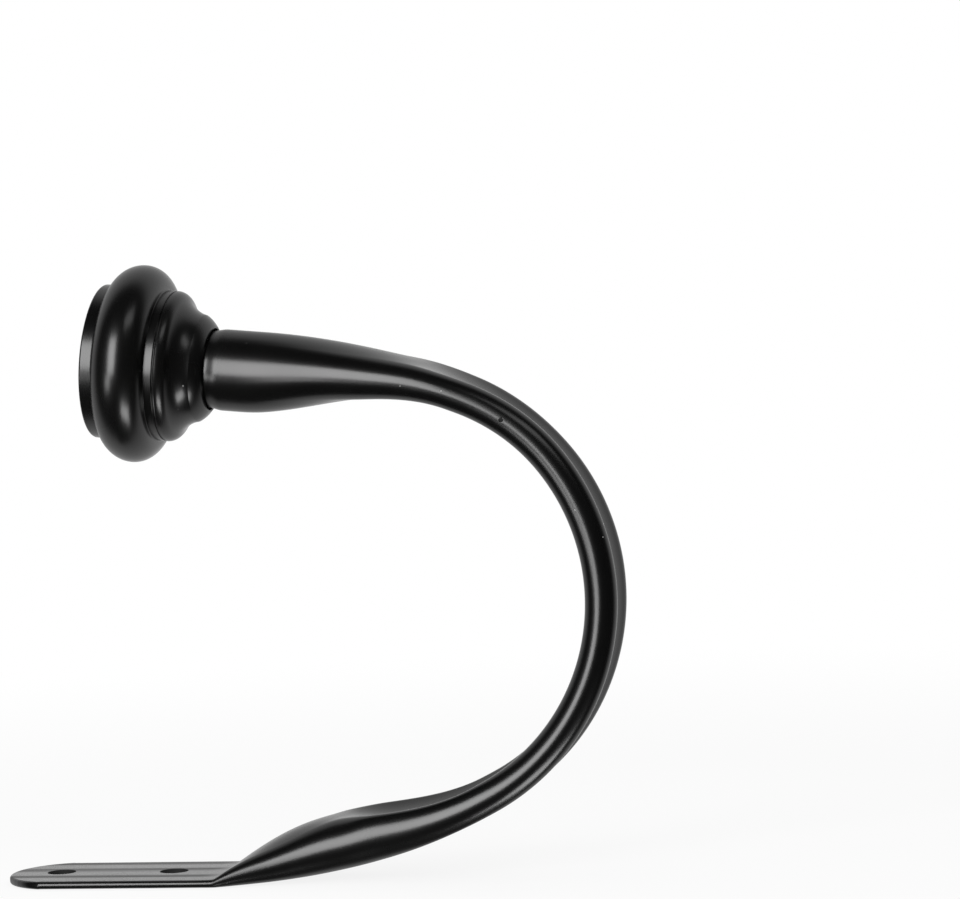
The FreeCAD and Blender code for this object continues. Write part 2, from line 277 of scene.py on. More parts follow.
def pressShare(s, along):           # 1 where the tube is fully pressed
    return ease(along, s["flankEnd"], s["pressStart"]) * (1 - ease(along, s["pressEnd"], s["roundStart"]))


def swelling(value, start, end):    # 0 at both ends, 1 half way
    return math.sin(math.pi * portion(value, start, end)) ** 2


def twistAngle(s, along):
    flank = s["flankTwist"] * swelling(along, s["twistStart"], s["twistEnd"])
    tail = s["tailTwist"] * swelling(along, s["tailTwistStart"], s["roundStart"])
    return math.radians(flank + s["bendTwist"] * pressShare(s, along) + tail)


def domeRise(s, along, sink):       # how far a domed side stands above its lobes, as a share of the spread
    lean, softness = -math.tan(sink / 2), s["domeSoftness"] * ease(along, 0, s["domeEnd"])
    return (lean + math.hypot(lean, softness)) / 2


class BroadSide:                    # one of the section's two broad sides with the crests beside it
    def __init__(self, s, along, sink):
        tightest = between(s["crestShare"], 1.0, ease(along, s["crestEnd"], s["crestGone"]))
        self.sink = sink
        self.turn = math.radians(s["crestTurn"])
        self.share = between(1.0, tightest, ease(sink, 0, math.radians(s["grooveSink"])))
        self.shiftOut = (1 - self.share) * math.cos(self.turn)      # crest centre from the lobe's
        self.shiftUp = (1 - self.share) * math.sin(self.turn)
        self.reach = self.share + self.shiftUp
        self.rise = domeRise(s, along, sink)

    def half(self, spread, lobe):
        return spread + lobe * (self.shiftOut - self.share * math.sin(self.sink))

    def length(self, spread, lobe):         # wall from the middle of one lobe to the middle of the other
        stretch = self.sink / math.sin(self.sink) if abs(self.sink) > tiny else 1.0
        crests = self.turn + self.share * (math.pi / 2 - self.turn + self.sink)
        return 2 * lobe * crests + 2 * self.half(spread, lobe) * stretch

    def web(self, spread, lobe, steps):
        run = np.linspace(1, -1, steps + 1)[1:-1]
        half, level = self.half(spread, lobe), lobe * (self.shiftUp + self.share * math.cos(self.sink))
        if abs(self.sink) <= tiny:
            return np.stack([half * run, np.full_like(run, level)], 1)
        across = half * np.sin(self.sink * run) / math.sin(self.sink)
        up = level - half * (np.cos(self.sink * run) - math.cos(self.sink)) / math.sin(self.sink)
        return np.stack([across, up], 1)


def lobeOutline(s, spread, lobe, outer, inner):     # far lobe, from its inner crest to its outer one
    turns = np.linspace(-math.pi / 2 - inner.sink, math.pi / 2 + outer.sink, s["lobeSteps"] + 1)
    share, shiftOut, shiftUp = np.ones_like(turns), np.zeros_like(turns), np.zeros_like(turns)
    for side, sign in ((outer, 1), (inner, -1)):
        crest = turns * sign > side.turn
        share[crest], shiftOut[crest], shiftUp[crest] = side.share, side.shiftOut, sign * side.shiftUp
    return np.stack([spread + lobe * (shiftOut + share * np.cos(turns)),
                     lobe * (shiftUp + share * np.sin(turns))], 1)


def carried(s, along, outline, depth):      # twists an outline and hangs it on the outer line
    twist = twistAngle(s, along)
    across = outline[:, 1] * math.sin(twist) + outline[:, 0] * math.cos(twist)
    up = outline[:, 1] * math.cos(twist) - outline[:, 0] * math.sin(twist)
    x, z, heading = outerLine(s, along)
    outward = np.array([math.sin(heading), 0.0, -math.cos(heading)])
    middle = np.array([x, 0.0, z]) - outward * depth
    return middle + np.outer(up, outward) + np.outer(across, [0.0, 1.0, 0.0])


def armSection(s, along):           # two lobes joined by two webs; the wall keeps its length
    height = halfHeight(s, along)
    outer = BroadSide(s, along, outerSink(s, along))
    inner = BroadSide(s, along, innerSink(s, along))

    def lobeFor(spread):
        return (2 * height - spread * (outer.rise + inner.rise)) / (outer.reach + inner.reach)

    def wallLength(spread):
        return sum(side.length(spread, lobeFor(spread)) for side in (outer, inner))

    slack = math.pi * s["tubeDiameter"] - wallLength(0.0)
    spread = slack / (wallLength(1.0) - wallLength(0.0))
    lobe = lobeFor(spread)
    farLobe = lobeOutline(s, spread, lobe, outer, inner)
    nearLobe = farLobe[::-1] * (-1, 1)
    outerWeb = outer.web(spread, lobe, s["webSteps"])
    innerWeb = -inner.web(spread, lobe, s["webSteps"])
    outline = np.concatenate([farLobe, outerWeb, nearLobe, innerWeb])
    mouth = tubeEnd(s) - s["socketDepth"]
    outline *= 1 - s["neckIn"] / (s["tubeDiameter"] / 2) * ease(along, mouth - s["neckRun"], mouth)
    return carried(s, along, outline, lobe * outer.reach + spread * outer.rise)


def armRows(s):
    fine = np.arange(s["plateEnd"], -s["plateEnd"], s["creaseRowSpacing"])
    count = int((tubeEnd(s) + s["plateEnd"]) / s["rowSpacing"])
    return np.concatenate([fine, np.linspace(-s["plateEnd"], tubeEnd(s), count)])


def tipOutline(s):                  # plan of the tab's edge from the far side round to the near side
    width = armSection(s, s["plateEnd"])[:, 1].max()
    centre = s["tipRadius"] - s["tabTip"]
    cornerRise = width - s["tipCorner"]
    cornerX = centre - math.sqrt((s["tipRadius"] - s["tipCorner"]) ** 2 - cornerRise ** 2)
    lastTurn = math.atan2(cornerRise, cornerX - centre)
    spots = []                      # x, y, outward angle, share of cut edge
    for x in np.linspace(s["tabCrease"] + s["plateEnd"], cornerX, s["sideSteps"])[:-1]:
        spots.append((x, width, math.pi / 2, 0.0))
    for part in np.linspace(0, 1, s["cornerSteps"])[:-1]:
        turn = between(math.pi / 2, lastTurn, part)
        spots.append((cornerX + s["tipCorner"] * math.cos(turn),
                      cornerRise + s["tipCorner"] * math.sin(turn), turn, part))
    for turn in np.linspace(lastTurn, math.pi, s["tipSteps"]):
        spots.append((centre + s["tipRadius"] * math.cos(turn), s["tipRadius"] * math.sin(turn), turn, 1.0))
    return spots + [(x, -y, -turn, cut) for x, y, turn, cut in spots[-2::-1]]


class Skin:                         # points with their own normals, and the faces on them
    def __init__(self):
        self.points, self.normals, self.faces = [], [], []

    def add(self, point, normal):
        self.points.append(tuple(point))
        self.normals.append(tuple(normal))
        return len(self.points) - 1

    def strip(self, first, second):
        for step in range(len(first) - 1):
            self.faces.append((first[step], first[step + 1], second[step + 1], second[step]))

    def ring(self, first, second):
        self.strip(list(first) + [first[0]], list(second) + [second[0]])

    def fill(self, rim, holes, level):      # flat face with round holes; level is 1 facing up, -1 down
        loops = [rim] + [loop for loop, centre, radius in holes]
        order = [index for loop in loops for index in loop]
        flat = [Vector(self.points[index][:2]) for index in order]
        edges, start = [], 0
        for loop in loops:
            count = len(loop)
            edges += [(start + step, start + (step + 1) % count) for step in range(count)]
            start += count
        insideOnly, closeness = 1, 1e-7
        found = delaunay_2d_cdt(flat, edges, [], insideOnly, closeness)
        source = [ids[0] for ids in found[3]]
        for face in found[2]:
            corners = [order[source[corner]] for corner in face]
            spot = sum((Vector(self.points[index][:2]) for index in corners), Vector((0, 0))) / len(corners)
            if any((spot - Vector(centre)).length < radius for loop, centre, radius in holes):
                continue
            self.faces.append(tuple(corners if level > 0 else corners[::-1]))

    def turnedOut(self, face):          # winds a face the way its points' normals look
        points = [Vector(self.points[index]) for index in face]
        lean = sum((Vector(self.normals[index]) for index in face), Vector((0, 0, 0)))
        middle = len(points) // 2
        wound = (points[middle] - points[0]).cross(points[-1] - points[middle - 1])
        return face if wound.dot(lean) > 0 else face[::-1]

    def mesh(self, name, scale):
        made = bpy.data.meshes.new(name)
        points = [tuple(scale * value for value in point) for point in self.points]
        made.from_pydata(points, [], [self.turnedOut(face) for face in self.faces])
        made.update()
        made.polygons.foreach_set("use_smooth", [True] * len(made.polygons))
        made.normals_split_custom_set_from_vertices(self.normals)
        return made


def gridNormals(grid):
    along = np.gradient(grid, axis=0)
    around = np.roll(grid, -1, axis=1) - np.roll(grid, 1, axis=1)
    normals = np.cross(along, around)
    normals /= np.linalg.norm(normals, axis=2, keepdims=True)
    outside = np.sum(normals * (grid - grid.mean(axis=1, keepdims=True)), axis=2)
    return normals * np.sign(outside.sum())


def addTabEdge(skin, s, farLobe, nearLobe):     # carries the tab's edge round the tip, lobe to lobe
    slopes = np.linspace(-math.pi / 2, math.pi / 2, len(farLobe))
    rows = [farLobe]
    for x, y, turn, cut in tipOutline(s)[1:-1]:
        edge = between(s["wall"], s["tipEdgeRound"], cut)
        row = []
        for slope in slopes:
            inset = edge * (1 - math.cos(slope))
            flat = max(-1.0, min(1.0, slope / s["edgeFlatTurn"]))
            drop = edge * math.sin(slope) + (s["wall"] - edge) * flat
            point = (x - inset * math.cos(turn), y - inset * math.sin(turn), s["wall"] - drop)
            lean = (math.cos(slope) * math.cos(turn), math.cos(slope) * math.sin(turn), -math.sin(slope))
            row.append(skin.add(point, lean))
        rows.append(row)
    rows.append(nearLobe[::-1])
    for first, second in zip(rows, rows[1:]):
        skin.strip(second, first)
    return rows


def holeProfile(s):                 # distance out, height and lean of a hole's wall, from the top down
    radius, edge, thick = s["holeDiameter"] / 2, s["holeEdgeRound"], 2 * s["wall"]
    upper = []
    for turn in np.linspace(0, math.pi / 2, s["holeEdgeSteps"]):
        out, up = radius + edge * (1 - math.sin(turn)), thick - edge * (1 - math.cos(turn))
        upper.append((out, up, -math.sin(turn), math.cos(turn)))
    return upper + [(out, thick - up, leanOut, -leanUp) for out, up, leanOut, leanUp in upper[::-1]]


def addHole(skin, s, middle):       # gives back the hole's rims, on top and on the wall side
    loops = []
    for out, up, leanOut, leanUp in holeProfile(s):
        loop = []
        for turn in np.linspace(0, 2 * math.pi, s["holeSteps"], endpoint=False):
            point = (middle + out * math.cos(turn), out * math.sin(turn), up)
            loop.append(skin.add(point, (leanOut * math.cos(turn), leanOut * math.sin(turn), leanUp)))
        loops.append(loop)
    for first, second in zip(loops, loops[1:]):
        skin.ring(second, first)
    radius = s["holeDiameter"] / 2 + s["holeEdgeRound"]
    return [(loop, (middle, 0), radius) for loop in (loops[0], loops[-1])]


def makeArmMesh(s):
    skin = Skin()
    grid = np.array([armSection(s, along) for along in armRows(s)])
    normals = gridNormals(grid)
    normals[-1] += (grid[-1] - grid[-2]).mean(axis=0) / s["rowSpacing"]     # edge of the cut end
    rings = [[skin.add(*pair) for pair in zip(*row)] for row in zip(grid, normals)]
    for first, second in zip(rings, rings[1:]):
        skin.ring(first, second)
    skin.faces.append(tuple(rings[-1]))

    # the tab: an edge carried on from the first ring, two holes, and a flat face on both sides
    lobe, web = s["lobeSteps"] + 1, s["webSteps"] - 1
    farLobe, nearLobe = rings[0][:lobe], rings[0][lobe + web:2 * lobe + web]
    wallWeb, topWeb = rings[0][lobe:lobe + web], rings[0][2 * lobe + web:]
    edgeRows = addTabEdge(skin, s, farLobe, nearLobe)
    topHoles, wallHoles = zip(*[addHole(skin, s, side * s["holeSpacing"] / 2) for side in (-1, 1)])
    skin.fill([row[0] for row in edgeRows] + topWeb, topHoles, 1)
    skin.fill([row[-1] for row in edgeRows] + wallWeb[::-1], wallHoles, -1)
    return skin.mesh("arm_coat", mm)


# Finial: its outline from the front centre to the socket floor, millimetres and degrees
finialSizes = {
    "discRadius": 18.0,
    "beadPosition": 9.4,
    "beadRadius": 23.1,
    "beadFrontRound": 6.8,
    "beadBackRound": 5.9,
    "bandRadius": 17.6,
    "bandEnd": 17.2,
    "grooveWidth": 0.3,
    "grooveDepth": 0.35,
    "ogeeRound": 2.8,
    "ogeeSlope": 65.0,
    "coveRound": 6.2,
    "lipSlope": 18.0,
    "lipRound": 5.5,
    "ridgeSlope": 11.0,         # the cove runs on to a fine ridge before the lip turns down
    "ridgeTurn": 22.0,
    "ridgeRound": 0.25,
    "socketDepth": 14.0,
    "socketClearance": 0.1,
    "rimEdge": 0.5,             # rounds on the turned edges
    "fineEdge": 0.12,
    "turns": 256,
    "arcStep": 4.0,             # between the points of a round stretch
    "pointGap": 0.0001,         # points closer than this are one
    "mergeGap": 0.001,          # and so they are once the outline is turned
}


def arcPoints(centre, radius, start, end):
    count = max(4, int(abs(end - start) / math.radians(finialSizes["arcStep"])))
    return [Vector((centre[0] + radius * math.cos(a), centre[1] + radius * math.sin(a)))
            for a in np.linspace(start, end, count + 1)]


def straightPoints(first, last):                # extra points by the ends keep the middle flat
    first, last = Vector(first), Vector(last)
    shares = (0, 0.03, 0.5, 0.97, 1)
    return [first.lerp(last, share) for share in shares]


def ridgedLip(ridge, mouth, slope, f):          # a small round at the ridge, then one arc down to the mouth
    turned = slope + math.radians(f["ridgeTurn"])
    small = f["ridgeRound"]
    centre = ridge - small * Vector((math.sin(slope), math.cos(slope)))
    points = arcPoints(centre, small, math.pi / 2 - slope, math.pi / 2 - turned)
    down = mouth - points[-1]
    bend = math.atan2(-down.y, down.x) - turned
    radius = down.length / (2 * math.sin(bend))
    centre = points[-1] - radius * Vector((math.sin(turned), math.cos(turned)))
    return points + arcPoints(centre, radius, math.pi / 2 - turned, math.pi / 2 - turned - 2 * bend)


def frontPoints(f):                             # disc, bead and band
    disc, bead, band, groove = f["discRadius"], f["beadPosition"], f["bandRadius"], f["bandEnd"]
    edge, fine = f["rimEdge"], f["fineEdge"]
    frontCentre = (bead, f["beadRadius"] - f["beadFrontRound"])
    backCentre = (bead, f["beadRadius"] - f["beadBackRound"])
    frontTurn = math.pi - math.asin((disc - frontCentre[1]) / f["beadFrontRound"])
    backTurn = math.asin((band - backCentre[1]) / f["beadBackRound"])
    beadLeft = bead + f["beadFrontRound"] * math.cos(frontTurn)
    beadRight = bead + f["beadBackRound"] * math.cos(backTurn)
    points = straightPoints((0, 0), (0, disc - edge))
    points += arcPoints((edge, disc - edge), edge, math.pi, math.pi / 2)
    points += straightPoints((edge, disc), (beadLeft, disc))
    points += arcPoints(frontCentre, f["beadFrontRound"], frontTurn, math.pi / 2)
    points += arcPoints(backCentre, f["beadBackRound"], math.pi / 2, backTurn)
    points += straightPoints((beadRight, band), (groove - fine, band))
    points += arcPoints((groove - fine, band - fine), fine, math.pi / 2, 0)
    return points


def socketMouth(f, coveCentre, tubeDiameter):   # the place where the lip's round meets the socket
    slope, toLip = math.radians(f["lipSlope"]), f["coveRound"] + f["lipRound"]
    lipCentre = (coveCentre[0] - toLip * math.sin(slope), coveCentre[1] - toLip * math.cos(slope))
    socket = tubeDiameter / 2 + f["socketClearance"]
    mouthTurn = math.asin((socket - lipCentre[1]) / f["lipRound"])
    return lipCentre[0] + f["lipRound"] * math.cos(mouthTurn), socket


def backPoints(f, tubeDiameter):                # fine groove, ogee, cove, lip and socket
    band, groove, fine = f["bandRadius"], f["bandEnd"], f["fineEdge"]
    slope, ridgeSlope = math.radians(f["ogeeSlope"]), math.radians(f["ridgeSlope"])
    ogeeStart, low = groove + f["grooveWidth"], band - f["grooveDepth"]
    ogeeCentre = (ogeeStart, band - f["ogeeRound"])
    toCove = f["ogeeRound"] + f["coveRound"]
    coveCentre = (ogeeCentre[0] + toCove * math.sin(slope), ogeeCentre[1] + toCove * math.cos(slope))
    mouth, socket = socketMouth(f, coveCentre, tubeDiameter)
    floorAt = mouth - f["socketDepth"]
    points = [Vector((groove, low)), Vector((ogeeStart, low))]
    points += arcPoints((ogeeStart + fine, band - fine), fine, math.pi, math.pi / 2)
    points += arcPoints(ogeeCentre, f["ogeeRound"], math.pi / 2 - fine / f["ogeeRound"], math.pi / 2 - slope)
    points += arcPoints(coveCentre, f["coveRound"], 1.5 * math.pi - slope, 1.5 * math.pi - ridgeSlope)
    points += ridgedLip(points[-1], Vector((mouth, socket)), ridgeSlope, f)
    points += straightPoints((mouth, socket), (floorAt, socket))
    points += straightPoints((floorAt, socket), (floorAt, 0))
    return points, floorAt


def finialOutline(f, tubeDiameter):
    points, floorAt = backPoints(f, tubeDiameter)
    kept = []
    for point in frontPoints(f) + points:
        if not kept or (point - kept[-1]).length > f["pointGap"]:
            kept.append(point)
    return kept, floorAt


def newTree(name, inputs):              # a Geometry Nodes tree with named inputs
    tree = bpy.data.node_groups.new(name, "GeometryNodeTree")
    for label, kind in inputs.items():
        tree.interface.new_socket(label, in_out="INPUT", socket_type="NodeSocket" + kind)
    tree.interface.new_socket("Geometry", in_out="OUTPUT", socket_type="NodeSocketGeometry")
    return tree


def turningTree():                      # turns the outline on the input mesh about its own X axis
    tree = newTree("turnedOutline", {
        "Outline": "Geometry", "Turns": "Int", "Merge": "Float",
        "Seat": "Vector", "Lean": "Float", "Coat": "Material"})
    wire = Wire(tree)
    given = wire.node("NodeGroupInput")
    turns, outline = given.out("Turns"), given.out("Outline")
    columns = turns + 1
    count = wire.node("GeometryNodeAttributeDomainSize", None, {"Geometry": outline})
    grid = wire.node("GeometryNodeMeshGrid", None, {"Vertices X": count, "Vertices Y": columns})
    index = wire.node("GeometryNodeInputIndex")
    row = wire.math("FLOOR", (index + 0.5) / columns)
    column = index - row * columns
    place = wire.node("GeometryNodeInputPosition")
    spot = wire.node("GeometryNodeSampleIndex", {"data_type": "FLOAT_VECTOR"},
                     {"Geometry": outline, "Value": place, "Index": row})
    parts = wire.node("ShaderNodeSeparateXYZ", None, {0: spot})
    angle = column * (2 * math.pi) / turns
    turned = wire.node("ShaderNodeCombineXYZ", None, {
        "X": parts.out("X"),
        "Y": parts.out("Y") * wire.math("SINE", angle),
        "Z": parts.out("Y") * wire.math("COSINE", angle),
    })
    shaped = wire.node("GeometryNodeSetPosition", None, {"Geometry": grid, "Position": turned})
    closed = wire.node("GeometryNodeMergeByDistance", None,
                       {"Geometry": shaped, "Distance": given.out("Merge")})
    smooth = wire.node("GeometryNodeSetShadeSmooth", None, {"Geometry": closed})
    lean = wire.node("ShaderNodeCombineXYZ", None, {"Y": given.out("Lean")})
    seated = wire.node("GeometryNodeTransform", None,
                       {"Geometry": smooth, "Translation": given.out("Seat"), "Rotation": lean})
    real = wire.node("GeometryNodeRealizeInstances", None, {"Geometry": seated})
    coated = wire.node("GeometryNodeSetMaterial", None, {"Geometry": real, "Material": given.out("Coat")})
    wire.node("NodeGroupOutput", None, {"Geometry": coated})
    return tree


def nibTree():                          # dust nibs under the coat, scattered over the input mesh
    tree = newTree("coatNibs", {
        "Surface": "Geometry", "Per Area": "Float", "Smallest": "Float", "Largest": "Float",
        "Flatness": "Float", "Seed": "Int", "Dust": "Material"})
    wire = Wire(tree)
    given = wire.node("NodeGroupInput")
    spots = wire.node("GeometryNodeDistributePointsOnFaces", None, {
        "Mesh": given.out("Surface"), "Density": given.out("Per Area"), "Seed": given.out("Seed")})
    grain = wire.node("GeometryNodeMeshIcoSphere", None, {"Radius": 1.0, "Subdivisions": 2})
    width = wire.node("FunctionNodeRandomValue", {"data_type": "FLOAT"},
                      {2: given.out("Smallest"), 3: given.out("Largest"), "Seed": given.out("Seed")}, 1)
    shape = wire.node("ShaderNodeCombineXYZ", None,
                      {"X": width, "Y": width, "Z": width * given.out("Flatness")})
    laid = wire.node("GeometryNodeInstanceOnPoints", None, {
        "Points": spots, "Instance": grain, "Rotation": spots.out("Rotation"), "Scale": shape})
    real = wire.node("GeometryNodeRealizeInstances", None, {"Geometry": laid})
    smooth = wire.node("GeometryNodeSetShadeSmooth", None, {"Geometry": real})
    dusted = wire.node("GeometryNodeSetMaterial", None, {"Geometry": smooth, "Material": given.out("Dust")})
    wire.node("NodeGroupOutput", None, {"Geometry": dusted})
    return tree


def grow(name, mesh, tree, values):     # runs a node tree on a mesh and gives back a plain mesh
    source = bpy.data.objects.new(name + "_source", mesh)
    bpy.context.scene.collection.objects.link(source)
    modifier = source.modifiers.new("grow", "NODES")
    modifier.node_group = tree
    for item in tree.interface.items_tree:
        if item.item_type == "SOCKET" and item.in_out == "INPUT" and item.name in values:
            modifier[item.identifier] = values[item.name]
    evaluated = source.evaluated_get(bpy.context.evaluated_depsgraph_get())
    made = bpy.data.meshes.new_from_object(evaluated)
    made.name = name
    bpy.data.objects.remove(source)
    return made


def newMaterial(name):
    material = bpy.data.materials.new(name)
    material.use_nodes = True
    material.node_tree.nodes.clear()
    return material, Wire(material.node_tree)


def addPiece(name, mesh):
    piece = bpy.data.objects.new(name, mesh)
    bpy.context.scene.collection.objects.link(piece)
    return piece


# Black satin coat over steel
coatLook = {
    "colour": (0.0007, 0.0007, 0.0008, 1.0),
    "worn": (0.0018, 0.0018, 0.0017, 1.0),
    "roughness": 0.26,
    "roughnessSpread": 0.05,
    "cloudScale": 45.0,         # per metre, slow changes of tint and roughness
    "peelSize": 0.0016,         # metres, the coat's own fine ripple
    "peelDepth": 0.0000012,
    "rippleWidth": 0.0096,      # metres, press ripples along the tab
    "rippleDepth": 0.0002,
    "streakSize": 0.007,
    "streakStretch": 0.06,      # the streaks run along the tab
    "streakSway": 3.0,          # radians by which they shift the ripples
    "tabFade": (0.022, 0.028),  # the ripples fade out from x to x, by the crease
    "lowFade": (0.010, 0.020),  # and from z to z, off the tab
    "holeRoughness": 0.5,       # added on the walls of the screw holes
    "holeFade": (0.00003, 0.0001),
    "nickPixel": (501, 420),
    "nickSize": 0.0006,
    "nickFloor": 0.3,           # share of the nick that is fully deep
    "nickDepth": 0.0002,
    "nickRoughness": 0.6,
}


def pressRipples(wire, look, place, x, y):      # they run along the tab and sway with the streaks
    stretched = wire.node("ShaderNodeMapping", None,
                          {"Vector": place, "Scale": (look["streakStretch"], 1.0, 0.0)})
    streak = wire.node("ShaderNodeTexNoise", None,
                       {"Vector": stretched, "Scale": 1 / look["streakSize"], "Detail": 3.0})
    sway = (streak - 0.5) * look["streakSway"]
    wave = wire.math("COSINE", y * (2 * math.pi / look["rippleWidth"]) + sway)
    return wave * (streak + 0.5) * x.fade(*look["tabFade"])


def holeWalls(wire, look, s, x, y):             # 1 on the walls of the screw holes
    fromHole = wire.node("ShaderNodeCombineXYZ", None, {
        "X": wire.math("ABSOLUTE", x) - mm * s["holeSpacing"] / 2, "Y": y})
    away = wire.node("ShaderNodeVectorMath", {"operation": "LENGTH"}, {0: fromHole}, "Value")
    radius = mm * s["holeDiameter"] / 2
    return away.fade(*(radius + gap for gap in look["holeFade"]))


def coatMaterial(look, s, nick):
    material, wire = newMaterial("blackCoat")
    place = wire.node("ShaderNodeTexCoord", None, None, "Object")
    parts = wire.node("ShaderNodeSeparateXYZ", None, {0: place})
    x, y, z = parts.out("X"), parts.out("Y"), parts.out("Z")
    cloud = wire.node("ShaderNodeTexNoise", None,
                      {"Vector": place, "Scale": look["cloudScale"], "Detail": 4.0})
    peel = wire.node("ShaderNodeTexNoise", None,
                     {"Vector": place, "Scale": 1 / look["peelSize"], "Detail": 2.0, "Roughness": 0.4})
    away = wire.node("ShaderNodeVectorMath", {"operation": "DISTANCE"},
                     {0: place, 1: tuple(nick)}, "Value")
    dent = away.fade(look["nickSize"] * look["nickFloor"], look["nickSize"])
    low = z.fade(*look["lowFade"])
    ripple = pressRipples(wire, look, place, x, y) * low
    inHole = holeWalls(wire, look, s, x, y) * low
    tint = wire.node("ShaderNodeMix", {"data_type": "RGBA"},
                     {0: cloud, 6: look["colour"], 7: look["worn"]}, 2)
    roughness = look["roughness"] + (cloud - 0.5) * (2 * look["roughnessSpread"])
    roughness = roughness + dent * look["nickRoughness"] + inHole * look["holeRoughness"]
    relief = peel * look["peelDepth"] - ripple * look["rippleDepth"] - dent * look["nickDepth"]
    bump = wire.node("ShaderNodeBump", None, {"Height": relief, "Strength": 1.0, "Distance": 1.0})
    shader = wire.node("ShaderNodeBsdfPrincipled", None, {
        "Base Color": tint, "Roughness": roughness, "Normal": bump, "IOR": 1.5})
    wire.node("ShaderNodeOutputMaterial", None, {"Surface": shader})
    return material


# Dust under the coat
dustLook = {
    "dark": (0.01, 0.01, 0.01, 1.0),
    "pale": (0.10, 0.098, 0.095, 1.0),
    "grainScale": 300.0,        # per metre
    "roughness": 0.35,
}


def dustMaterial(look):
    material, wire = newMaterial("coatDust")
    place = wire.node("ShaderNodeTexCoord", None, None, "Object")
    grain = wire.node("ShaderNodeTexNoise", None, {"Vector": place, "Scale": look["grainScale"]})
    tint = wire.node("ShaderNodeMix", {"data_type": "RGBA"}, {0: grain, 6: look["dark"], 7: look["pale"]}, 2)
    shader = wire.node("ShaderNodeBsdfPrincipled", None,
                       {"Base Color": tint, "Roughness": look["roughness"]})
    wire.node("ShaderNodeOutputMaterial", None, {"Surface": shader})
    return material


def photoSpot(view, pixel, mesh):       # where the ray through a pixel of the photograph meets a mesh
    place, right, up, back = cameraAxes(view)
    across = (pixel[0] - view["width"] / 2) / view["focalPixels"]
    rise = (view["height"] / 2 - pixel[1]) / view["focalPixels"]
    ray = (right * across + up * rise - back).normalized()
    tree = BVHTree.FromPolygons([v.co for v in mesh.vertices], [tuple(p.vertices) for p in mesh.polygons])
    return tree.ray_cast(place, ray)[0]


armMesh = makeArmMesh(armSizes)
print("arm skinned:", len(armMesh.polygons), "faces")
nickSpot = photoSpot(photoView, coatLook["nickPixel"], armMesh)
blackCoat = coatMaterial(coatLook, armSizes, nickSpot)
coatDust = dustMaterial(dustLook)
armMesh.materials.append(blackCoat)
armCoat = addPiece("arm_coat", armMesh)
print("coat mixed, nick at", [round(value, 4) for value in nickSpot])


def makeFinialMesh(f, s, coat):
    outline, floorAt = finialOutline(f, s["tubeDiameter"])
    mesh = bpy.data.meshes.new("finial_outline")
    points = [(mm * point.x, mm * point.y, 0) for point in outline]
    mesh.from_pydata(points, [(step, step + 1) for step in range(len(points) - 1)], [])
    x, z, heading = outerLine(s, tubeEnd(s))
    half = s["tubeDiameter"] / 2
    seatX = x - math.sin(heading) * half + math.cos(heading) * floorAt
    seatZ = z + math.cos(heading) * half + math.sin(heading) * floorAt
    return grow("finial_coat", mesh, turningTree(), {
        "Turns": f["turns"],
        "Merge": mm * f["mergeGap"],
        "Seat": (mm * seatX, 0.0, mm * seatZ),
        "Lean": math.pi - heading,
        "Coat": coat,
    })


finialMesh = makeFinialMesh(finialSizes, armSizes, blackCoat)
finialCoat = addPiece("finial_coat", finialMesh)
print("finial turned:", len(finialMesh.polygons), "faces")


# Dust nibs: some scattered all over, some where the photograph shows them
nibLook = {
    "perArea": 800.0,
    "smallest": 0.00005,
    "largest": 0.00014,
    "flatness": 0.5,
    "seed": 4,
    "shownOnArm": [(400, 386), (441, 391), (575, 510), (603, 524), (603, 537)],
    "shownOnFinial": [(183, 386)],
    "shownSize": 0.00016,
}


def makeNibs(look, onArm, onFinial, dust):
    both = bmesh.new()
    both.from_mesh(onArm)
    both.from_mesh(onFinial)
    surface = bpy.data.meshes.new("nib_surface")
    both.to_mesh(surface)
    both.free()
    mesh = grow("coat_nibs", surface, nibTree(), {
        "Per Area": look["perArea"],
        "Smallest": look["smallest"],
        "Largest": look["largest"],
        "Flatness": look["flatness"],
        "Seed": look["seed"],
        "Dust": dust,
    })
    shaped = bmesh.new()
    shaped.from_mesh(mesh)
    for pixels, carrier in ((look["shownOnArm"], onArm), (look["shownOnFinial"], onFinial)):
        for pixel in pixels:
            spot = photoSpot(photoView, pixel, carrier)
            bmesh.ops.create_icosphere(shaped, subdivisions=2, radius=look["shownSize"] / 2,
                                       matrix=Matrix.Translation(spot))
    for face in shaped.faces:
        face.smooth = True
    shaped.to_mesh(mesh)
    shaped.free()
    return mesh


nibs = addPiece("coat_nibs", makeNibs(nibLook, armMesh, finialMesh, coatDust))
print("nibs laid:", len(nibs.data.polygons), "faces")

for piece, node in ((armCoat, "arm"), (finialCoat, "finial")):
    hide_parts(node)
for piece in (armCoat, finialCoat, nibs):
    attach(piece, "root")


